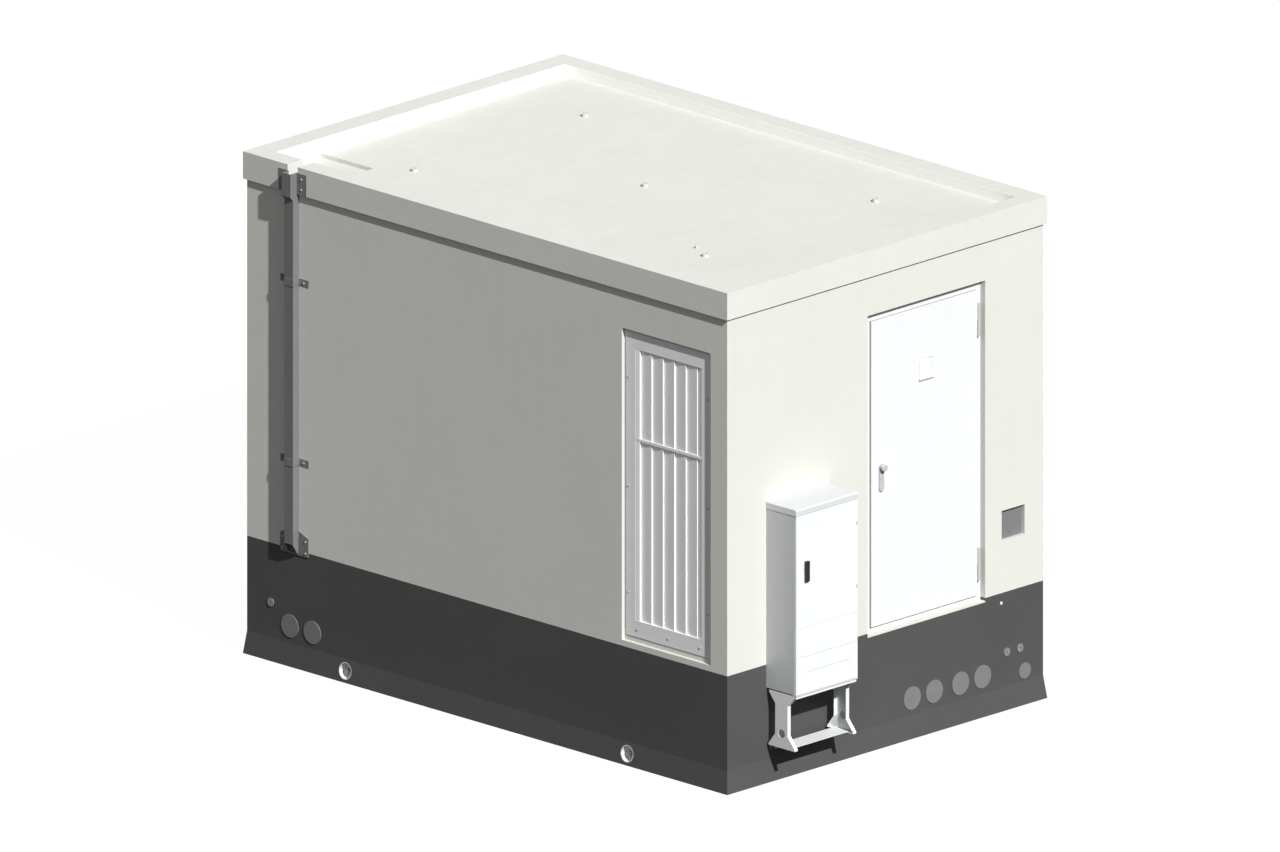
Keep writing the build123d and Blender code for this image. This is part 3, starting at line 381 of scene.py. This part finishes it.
def trowel_arcs(work, shade, height):
    """Faint trowel arcs on a cast surface."""
    wave = work.node("ShaderNodeTexWave")
    wave.wave_type = "RINGS"
    wave.inputs["Scale"].default_value = 2.2
    wave.inputs["Distortion"].default_value = 14.0
    wave.inputs["Detail"].default_value = 3.0
    work.join(work.node("ShaderNodeTexCoord").outputs["Object"], wave.inputs["Vector"])
    arcs = work.math("MULTIPLY", wave.outputs["Fac"], 0.25)
    tone = work.stretch(wave.outputs["Fac"], 0.0, 1.0, 0.99, 1.008)
    return work.tint(shade, tone), work.math("ADD", height, arcs)


def tread(work, shade, height):
    """Raised lozenges of chequer plate, thirty millimetres apart."""
    place = object_place(work)
    one = work.math("SINE", work.math("MULTIPLY", work.math("ADD", place["X"], place["Y"]), 210.0))
    two = work.math("SINE", work.math("MULTIPLY", work.math("SUBTRACT", place["X"], place["Y"]), 210.0))
    bars = work.stretch(work.math("MULTIPLY", one, two), 0.35, 0.6, 0.0, 1.0)
    return shade, work.math("ADD", height, work.math("MULTIPLY", bars, 3.0))


FINISHES = {
    "concrete_dark": finish("tub_coating", (0.057, 0.057, 0.058), 0.72, cloud=(0.05, 1.5),
                            streak=(0.0, 0.8, 0.05), grain=(180.0, 0.15), bump=(0.35, 0.0012), dust=0.25),
    "concrete_cream": finish("wall_render", (0.56, 0.563, 0.52), 0.9, cloud=(0.018, 0.8),
                             streak=(0.03, 3.3, 0.0), grain=(420.0, 0.12), bump=(0.5, 0.0011)),
    "concrete_roof": finish("roof_concrete", (0.56, 0.565, 0.53), 0.88, cloud=(0.025, 1.0),
                            grain=(300.0, 0.25), bump=(0.4, 0.0009), pattern=trowel_arcs, dust=0.03),
    "white_coat": finish("door_powder_coat", (0.665, 0.67, 0.675), 0.42, cloud=(0.01, 1.5),
                         streak=(0.012, 3.0, 0.0), grain=(700.0, 0.0), bump=(0.12, 0.0003), coat=0.15),
    "light_grey_coat": finish("grille_powder_coat", (0.74, 0.74, 0.745), 0.45, cloud=(0.02, 2.0),
                              grain=(700.0, 0.0), bump=(0.12, 0.0003), dust=0.1),
    "grey_coat": finish("flap_paint", (0.16, 0.16, 0.163), 0.5, cloud=(0.03, 3.0), grain=(600.0, 0.0),
                        bump=(0.15, 0.0003)),
    "zinc_grey": finish("pipe_zinc", (0.165, 0.165, 0.166), 0.5, metal=0.1, cloud=(0.06, 4.0),
                        streak=(0.12, 3.3, 0.0), grain=(500.0, 0.0), bump=(0.12, 0.0004), dust=0.2),
    "galvanised": finish("zinc_coating", (0.55, 0.56, 0.575), 0.42, metal=0.75, cloud=(0.05, 3.0),
                         grain=(400.0, 0.0), bump=(0.1, 0.0003), pattern=spangle, dust=0.15),
    "steel": finish("satin_steel", (0.47, 0.465, 0.45), 0.45, metal=0.1, cloud=(0.05, 12.0),
                    grain=(900.0, 0.0), bump=(0.1, 0.0002)),
    "cream_coat": finish("niche_coat", (0.56, 0.563, 0.52), 0.5, cloud=(0.02, 4.0), grain=(600.0, 0.0),
                         bump=(0.15, 0.0003)),
    "pale_plastic": finish("cap_plastic", (0.52, 0.52, 0.49), 0.5, cloud=(0.03, 6.0), grain=(600.0, 0.0),
                           bump=(0.2, 0.0003)),
    "grey_plastic": finish("entry_cover_plastic", (0.165, 0.165, 0.166), 0.55, cloud=(0.03, 5.0),
                           grain=(600.0, 0.0), bump=(0.2, 0.0003), dust=0.2),
    "white_plastic": finish("white_plastic", (0.62, 0.624, 0.63), 0.4, cloud=(0.015, 6.0),
                            grain=(600.0, 0.0), bump=(0.15, 0.0002)),
    "black_plastic": finish("black_plastic", (0.022, 0.022, 0.024), 0.42, cloud=(0.05, 8.0),
                            grain=(800.0, 0.0), bump=(0.25, 0.0002), dust=0.05),
    "cabinet_plastic": finish("moulded_polyester", (0.665, 0.675, 0.68), 0.5, cloud=(0.012, 2.0),
                              streak=(0.01, 1.9, 0.0), grain=(650.0, 0.0), bump=(0.22, 0.0003), dust=0.04),
    "rubber": finish("seal_rubber", (0.025, 0.025, 0.025), 0.65, cloud=(0.08, 10.0), grain=(500.0, 0.1),
                     bump=(0.3, 0.0003)),
    "porcelain": finish("brown_glaze", (0.16, 0.06, 0.028), 0.12, cloud=(0.15, 12.0), grain=(150.0, 0.0),
                        bump=(0.08, 0.0004), coat=0.6, rough_spread=0.04),
    "cable_red": finish("red_sheath", (0.42, 0.035, 0.03), 0.45, cloud=(0.06, 6.0), grain=(500.0, 0.0),
                        bump=(0.15, 0.0003), dust=0.2),
    "cable_black": finish("black_sheath", (0.02, 0.02, 0.021), 0.45, cloud=(0.06, 6.0), grain=(500.0, 0.0),
                          bump=(0.15, 0.0003), dust=0.2),
    "green_coat": finish("tank_paint", (0.12, 0.15, 0.13), 0.4, cloud=(0.05, 2.0), grain=(500.0, 0.0),
                         bump=(0.15, 0.0003), dust=0.4),
}
FINISHES["vent_screen"] = finish("perforated_sheet_painted_shade", (0.6, 0.6, 0.605), 0.5, cloud=(0.015, 2.0),
                                 grain=(700.0, 0.0), bump=(0.3, 0.0006), pattern=perforated)
FINISHES["floor_steel"] = finish("chequer_plate", (0.42, 0.43, 0.44), 0.45, metal=0.7, cloud=(0.06, 3.0),
                                 grain=(400.0, 0.0), bump=(0.4, 0.0008), pattern=tread, dust=0.3)
# Painted shade: the housing is a darker grey than the same plastic of the cabinet door, so its sides read as
# shaded.
FINISHES["housing_shell_painted_shade"] = finish("polyester_painted_shade", (0.46, 0.468, 0.475), 0.55, cloud=(0.015, 2.0),
                                   streak=(0.015, 1.9, 0.0), grain=(650.0, 0.0), bump=(0.22, 0.0003),
                                   dust=0.08)
# Painted shade: the lid is a darker grey than the door's plastic, to tone down its sunlit top.
FINISHES["housing_lid_painted_shade"] = finish("lid_polyester_painted_shade", (0.53, 0.545, 0.55), 0.5, cloud=(0.015, 2.0),
                                 grain=(650.0, 0.0), bump=(0.22, 0.0003), dust=0.08)
# Painted light: the flashing is much paler than the roof concrete, so the pan's shaded inner faces read as
# lit.
FINISHES["pan_flashing_painted_light"] = finish("pan_flashing_painted_light", (0.86, 0.865, 0.82), 0.6, cloud=(0.02, 3.0),
                                  grain=(500.0, 0.0), bump=(0.2, 0.0004))
# Painted light: the blades are paler than the frame's same grey powder coat, to make up for the weaker light
# on their sloping faces.
FINISHES["grille_blades_painted_light"] = finish("blade_coat_painted_light", (0.86, 0.86, 0.865), 0.45, cloud=(0.015, 2.0),
                                   grain=(700.0, 0.0), bump=(0.12, 0.0003), dust=0.05)
FINISHES["switchgear_coat"] = finish("switchgear_coat", (0.42, 0.43, 0.43), 0.45, cloud=(0.02, 2.0),
                                     grain=(700.0, 0.0), bump=(0.12, 0.0003), dust=0.15)
# Painted shade: a grey gasket darkens the line round the door leaf, where its shaded edge faces show.
FINISHES["leaf_gasket_painted_shade"] = finish("gasket_painted_shade", (0.33, 0.33, 0.335), 0.7, cloud=(0.04, 8.0),
                                 grain=(500.0, 0.0), bump=(0.2, 0.0003))
SPECIAL = {"vent_screen": "vent_screen", "floor_plates": "floor_steel", "floor_hatch": "floor_steel",
           "cabinet_housing": "housing_shell_painted_shade", "cabinet_cap": "housing_lid_painted_shade", "flap_lock": "zinc_grey",
           "rmu_cabinet": "switchgear_coat"}


def paint_for(node):
    """Finish for a CAD node or a piece that stands for it."""
    return FINISHES[SPECIAL.get(node, slot_of[node])]


for name, part in nodes.items():
    part.data.materials.clear()
    part.data.materials.append(paint_for(name))


# ---------------------------------------------------------------- softened edges
CORNER_ANGLE = math.radians(28)
FLAT_ANGLE = math.radians(0.6)


def softened(node, width):
    """Copy of a CAD node with its corners rounded over by a narrow bevel."""
    source = nodes[node]
    mesh = source.data.copy()
    work = bmesh.new()
    work.from_mesh(mesh)
    bmesh.ops.remove_doubles(work, verts=work.verts, dist=1e-5)
    bmesh.ops.dissolve_limit(work, angle_limit=FLAT_ANGLE, verts=work.verts, edges=work.edges)
    work.to_mesh(mesh)
    work.free()
    mesh.name = node + "_edged"
    piece = bpy.data.objects.new(node + "_edged", mesh)
    scene.collection.objects.link(piece)
    mesh.materials.clear()
    mesh.materials.append(paint_for(node))
    mesh.polygons.foreach_set("use_smooth", np.ones(len(mesh.polygons), bool))
    mesh.set_sharp_from_angle(angle=CORNER_ANGLE)
    bevel = piece.modifiers.new("edge_round", "BEVEL")
    bevel.width = width
    bevel.segments = 2
    bevel.limit_method = "ANGLE"
    bevel.angle_limit = CORNER_ANGLE
    bevel.harden_normals = True
    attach(piece, body_of[node])
    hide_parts(node)


EDGE_WIDTHS = {
    "cabinet_cap": 0.002, "cabinet_door": 0.002, "cabinet_cover": 0.002, "cabinet_lower_cover": 0.0012,
    "door_leaf": 0.001, "door_frame": 0.0015, "vent_frame": 0.001, "sign_holder": 0.0008,
    "lock_plate": 0.002, "pipe_clamps": 0.0008, "downpipe": 0.0015, "transformer_cover": 0.002,
}
for node, width in EDGE_WIDTHS.items():
    softened(node, width)


# ---------------------------------------------------------------- added strips
EAST, NORTH = (1.0, 0.0, 0.0), (0.0, 1.0, 0.0)
UP, DOWN = (0.0, 0.0, 1.0), (0.0, 0.0, -1.0)


def strip_along(name, path, sides, axis, section, body, paint, closed=False):
    """Strip of constant section along a flat path with mitred corners.

    Each ring of points is the path's corner plus the section's first measure along that corner's
    side direction and its second measure along the strip's axis. Neighbouring rings are joined
    by four-cornered faces, and the ends of an open path are closed by the section itself.
    """
    path, sides = np.asarray(path, float), np.asarray(sides, float)
    across, along = np.asarray(section, float).T
    rings = path[:, None] + across[None, :, None] * sides[:, None] + along[None, :, None] * np.array(axis)
    count, points = len(path), len(across)
    spans = np.arange(count if closed else count - 1)[:, None]
    steps = np.arange(points)[None]
    after, following = (spans + 1) % count, (steps + 1) % points
    quads = np.stack([spans * points + steps, spans * points + following,
                      after * points + following, after * points + steps], -1).reshape(-1, 4)
    faces = quads.tolist()
    if not closed:
        faces += [list(range(points))[::-1], list(range((count - 1) * points, count * points))]
    mesh = bpy.data.meshes.new(name)
    mesh.from_pydata(rings.reshape(-1, 3).tolist(), [], faces)
    shape = bmesh.new()
    shape.from_mesh(mesh)
    bmesh.ops.recalc_face_normals(shape, faces=shape.faces)
    shape.to_mesh(mesh)
    shape.free()
    mesh.materials.append(FINISHES[paint])
    strip = bpy.data.objects.new(name, mesh)
    scene.collection.objects.link(strip)
    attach(strip, body)
    return strip


def frame_round(name, across, front, heights, section, body, paint):
    """Closed upright rectangle of a section, in the plane of the front wall."""
    (x0, x1), (z0, z1) = across, heights
    path = [(x0, front, z0), (x1, front, z0), (x1, front, z1), (x0, front, z1)]
    sides = [(-1, 0, -1), (1, 0, -1), (1, 0, 1), (-1, 0, 1)]
    strip_along(name, path, sides, NORTH, section, body, paint, closed=True)


def pan_flashing_painted_light():
    """Upstand strip against the inner faces of the roof pan, open at the outlet notch; its pale finish is
    painted light on these shaded faces.
    """
    (x0, y0, _), (x1, y1, top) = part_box("roof_slab")
    pipe_low, pipe_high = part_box("downpipe")
    side_rim, front_rim, back_rim, half_notch = 0.150, 0.140, 0.170, 0.0465
    x0, x1, y0, y1 = x0 + side_rim, x1 - side_rim, y0 + front_rim, y1 - back_rim
    outlet = (pipe_low.y + pipe_high.y) / 2
    path = [(x0, outlet + half_notch, top), (x0, y1, top), (x1, y1, top), (x1, y0, top), (x0, y0, top),
            (x0, outlet - half_notch, top)]
    sides = [(-1, 0, 0), (-1, 1, 0), (1, 1, 0), (1, -1, 0), (-1, -1, 0), (-1, 0, 0)]
    section = [(0.001, -0.001), (-0.0010, -0.001), (-0.0015, -0.003), (-0.0015, -0.128), (0.001, -0.128)]
    strip_along("pan_flashing_painted_light", path, sides, UP, section, "roof", "pan_flashing_painted_light")


def leaf_gasket_painted_shade():
    """Gasket round the four edges of the door leaf, behind its front arris; its grey is painted shade that
    darkens the line round the leaf.
    """
    (x0, front, z0), (x1, _, z1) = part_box("door_leaf")
    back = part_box("door_frame")[0].y
    depth = back - front - 0.001
    section = [(-0.001, 0.0015), (0.0005, 0.0015), (0.0012, 0.004), (0.0012, depth), (-0.001, depth)]
    frame_round("leaf_gasket_painted_shade", (x0, x1), front, (z0, z1), section, "door", "leaf_gasket_painted_shade")


def pedestal_rail():
    """Folded rail under the front of the cabinet, on top of its pedestal."""
    (x0, front, z0), (x1, _, _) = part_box("cabinet_housing")
    path = [(x0 + 0.002, front, z0), (x1 - 0.014, front, z0)]
    section = [(-0.0005, 0.006), (0.003, 0.006), (0.003, 0.0005), (0.0035, 0.0), (0.0145, 0.0),
               (0.015, 0.0005), (0.015, 0.018), (-0.0005, 0.018)]
    strip_along("pedestal_rail", path, [DOWN] * 2, NORTH, section, "station",
                "cabinet_plastic")


def grille_blades_painted_light():
    """Upright louvre blades, each sloping forward to a folded return, and the cross rib in front.

    A blade's section runs from its set-back edge to its front edge and then straight back, one sheet
    thick; the section is carried straight up the opening. Blades stand a fixed pitch apart.
    """
    (face, y0, z0), (back, y1, z1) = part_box("vent_bars")
    sheet, drop, front, pitch, air_gap, edge_gap = 0.0015, 0.011, face + 0.004, 0.1065, 0.003, 0.0005
    first, rib_rise, fold_end = y1 - 0.041, 0.3175, back - 0.002
    ends = [first - index * pitch for index in range(6)] + [y0 + edge_gap]
    starts = [y1 - edge_gap] + [end - air_gap for end in ends[:-1]]
    nears = [face + 0.001] + [front] * 5 + [front + drop * 0.5]
    fars = [face + 0.001] + [front + drop] * 6
    for index, (left, right, near, far) in enumerate(zip(starts, ends, nears, fars)):
        outline = [(far, left), (near, right), (fold_end, right), (fold_end, right + sheet),
                   (near + sheet, right + sheet), (far + sheet, left)]
        section = np.subtract(outline, (face, y0))
        # The blades take the paler finish: painted light on their sloping faces.
        strip_along(f"grille_blade_{index + 1}", [(face, y0, z0), (face, y0, z1)], [EAST] * 2, NORTH, section,
                    "station", "grille_blades_painted_light")
    middle = (z0 + z1) / 2 + rib_rise
    section = [(0.0, -0.0095), (0.0, 0.0095), (0.001, 0.0105), (0.0075, 0.0105), (0.0075, -0.0105),
               (0.001, -0.0105)]
    rib = strip_along("grille_rib", [(face, y0, middle), (face, y1, middle)], [EAST] * 2, DOWN, section,
                      "station", "light_grey_coat")
    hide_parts("vent_bars")


def switchgear_fields():
    """Raised frames round the three fields of the switchgear front and the cable covers below them."""
    (x0, front, z0), (x1, _, z1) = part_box("rmu_cabinet")
    field, inset, split = (x1 - x0) / 3, 0.018, z0 + (z1 - z0) * 0.42
    section = [(0.0, 0.001), (0.0, -0.0015), (-0.0015, -0.003), (-0.0125, -0.003), (-0.014, -0.0015),
               (-0.014, 0.001)]
    for index in range(3):
        left, right = x0 + index * field + inset, x0 + (index + 1) * field - inset
        for name, low, high in (("cover", z0 + inset, split - inset), ("field", split, z1 - inset)):
            frame_round(f"switchgear_{name}_{index + 1}", (left, right), front, (low, high), section,
                        "station", "light_grey_coat")


pan_flashing_painted_light()
leaf_gasket_painted_shade()
pedestal_rail()
grille_blades_painted_light()
switchgear_fields()
